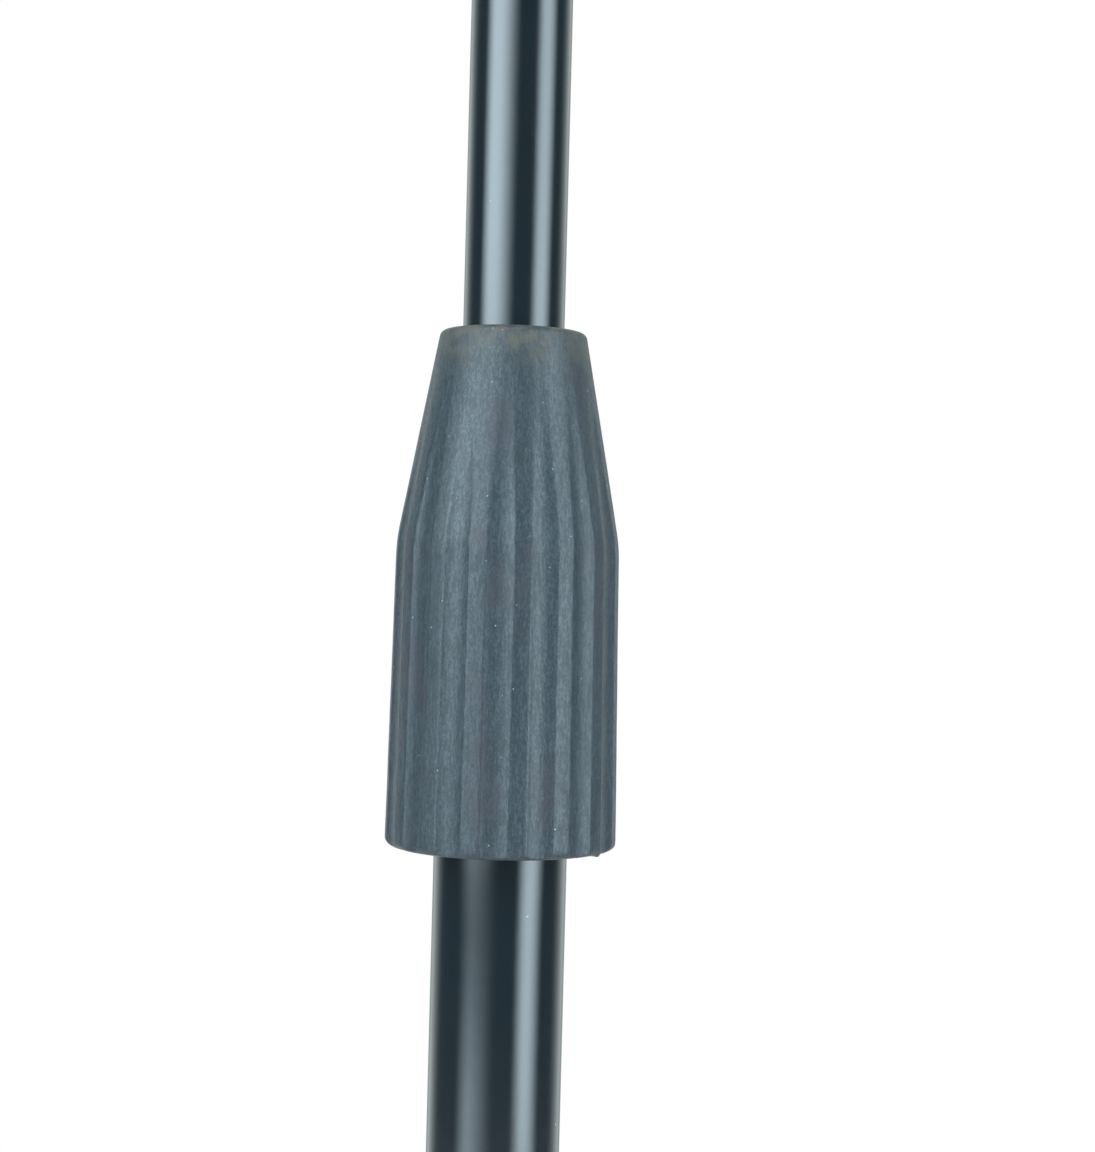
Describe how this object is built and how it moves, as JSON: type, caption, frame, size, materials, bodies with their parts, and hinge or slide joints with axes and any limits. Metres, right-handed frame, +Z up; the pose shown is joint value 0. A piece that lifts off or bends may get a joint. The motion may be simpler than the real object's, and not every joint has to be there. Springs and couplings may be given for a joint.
{
  "type": "music stand",
  "caption": "Folding orchestra music stand: perforated steel desk on a telescopic column with a ribbed rubber twist-clutch grip and a folding tripod base.",
  "frame": {"origin": "on the floor under the column's axis, at the centre of the three feet", "axes": "+Z up along the column; the player stands on the -Y side, facing +Y; +X is the player's right"},
  "size_m": [0.5242, 0.4545, 1.2247],
  "materials": {
    "gloss_black_tube": "gloss",
    "satin_black_steel": "satin",
    "slate_rubber": "matte",
    "black_rubber": "matte",
    "black_nylon": "satin",
    "white_nylon": "satin",
    "zinc_steel": "satin",
    "brass_insert": "satin"
  },
  "bodies": {
    "root": {"lower_tube": "gloss_black_tube", "base_hub": "black_nylon", "hub_screw": "zinc_steel", "foot_plug": "white_nylon", "hub_pivot_pins": "zinc_steel", "clutch_body": "black_nylon", "clutch_collet": "white_nylon"},
    "collar": {"leg_collar": "black_nylon", "collar_insert": "brass_insert", "clamp_pad": "white_nylon", "leg_pivot_rivets": "zinc_steel"},
    "collar_clamp": {"clamp_knob": "black_nylon", "clamp_stud": "zinc_steel"},
    "twist_grip": {"clutch_nut": "black_nylon", "clutch_grip": "slate_rubber"},
    "guide": {"guide_ring": "white_nylon"},
    "column": {"upper_tube": "gloss_black_tube", "end_plug": "white_nylon", "stop_sleeve": "zinc_steel", "tilt_head": "satin_black_steel", "head_set_screw": "zinc_steel"},
    "desk": {"tilt_washers": "white_nylon", "tilt_bolt": "zinc_steel", "tilt_flat_washer": "zinc_steel", "desk_bracket": "satin_black_steel", "desk_bolts": "satin_black_steel", "desk_nuts": "zinc_steel", "desk_panel": "satin_black_steel", "desk_ledge": "satin_black_steel", "ledge_rivets": "satin_black_steel"},
    "tilt_clamp": {"tilt_knob": "black_nylon", "tilt_knob_insert": "brass_insert"},
    "brace_back": {"brace_back": "satin_black_steel"},
    "leg_back": {"leg_back": "satin_black_steel", "foot_back": "black_rubber", "brace_rivet_back": "zinc_steel"},
    "brace_left": {"brace_left": "satin_black_steel"},
    "leg_left": {"leg_left": "satin_black_steel", "foot_left": "black_rubber", "brace_rivet_left": "zinc_steel"},
    "brace_right": {"brace_right": "satin_black_steel"},
    "leg_right": {"leg_right": "satin_black_steel", "foot_right": "black_rubber", "brace_rivet_right": "zinc_steel"}
  },
  "joints": [
    {"name": "base_fold", "type": "hinge", "parent": "root", "child": "brace_back", "pos_m": [0, 0.027, 0.026], "axis": [1, 0, 0], "range_deg": [0, 60]},
    {"name": "leg_back_pivot", "type": "hinge", "parent": "brace_back", "child": "leg_back", "pos_m": [0, 0.1416, 0.09216], "axis": [1, 0, 0], "range_deg": [-120, 0]},
    {"name": "brace_left_pivot", "type": "hinge", "parent": "root", "child": "brace_left", "pos_m": [-0.02338, -0.0135, 0.026], "axis": [-0.5, 0.866, 0], "range_deg": [0, 60]},
    {"name": "leg_left_pivot", "type": "hinge", "parent": "brace_left", "child": "leg_left", "pos_m": [-0.12263, -0.0708, 0.09216], "axis": [-0.5, 0.866, 0], "range_deg": [-120, 0]},
    {"name": "brace_right_pivot", "type": "hinge", "parent": "root", "child": "brace_right", "pos_m": [0.02338, -0.0135, 0.026], "axis": [-0.5, -0.866, 0], "range_deg": [0, 60]},
    {"name": "leg_right_pivot", "type": "hinge", "parent": "brace_right", "child": "leg_right", "pos_m": [0.12263, -0.0708, 0.09216], "axis": [-0.5, -0.866, 0], "range_deg": [-120, 0]},
    {"name": "collar_on_back_leg", "type": "hinge", "parent": "leg_back", "child": "collar", "pos_m": [0, 0.027, 0.15833], "axis": [1, 0, 0], "range_deg": [0, 60]},
    {"name": "collar_clamp_turn", "type": "hinge", "parent": "collar", "child": "collar_clamp", "pos_m": [0, -0.03, 0.17333], "axis": [0, -1, 0], "range_deg": [0, 360]},
    {"name": "clutch_turn", "type": "hinge", "parent": "root", "child": "twist_grip", "pos_m": [0, 0, 0.6061], "axis": [0, 0, 1], "range_deg": [0, 270]},
    {"name": "height_slide", "type": "slide", "parent": "root", "child": "guide", "axis": [0, 0, 1], "range_m": [-0.267, 0.257]},
    {"name": "column_swivel", "type": "hinge", "parent": "guide", "child": "column", "pos_m": [0, 0, 0.328], "axis": [0, 0, 1], "continuous": true},
    {"name": "desk_tilt", "type": "hinge", "parent": "column", "child": "desk", "pos_m": [0, 0, 1.034], "axis": [-1, 0, 0], "range_deg": [-20, 70]},
    {"name": "tilt_clamp_turn", "type": "hinge", "parent": "desk", "child": "tilt_clamp", "pos_m": [0.0117, 0, 1.034], "axis": [1, 0, 0], "range_deg": [0, 360]}
  ],
  "couplings": [
    {"joint": "leg_back_pivot", "follows": "base_fold", "ratio": -2},
    {"joint": "brace_left_pivot", "follows": "base_fold", "ratio": 1},
    {"joint": "leg_left_pivot", "follows": "base_fold", "ratio": -2},
    {"joint": "brace_right_pivot", "follows": "base_fold", "ratio": 1},
    {"joint": "leg_right_pivot", "follows": "base_fold", "ratio": -2},
    {"joint": "collar_on_back_leg", "follows": "base_fold", "ratio": 1}
  ]
}
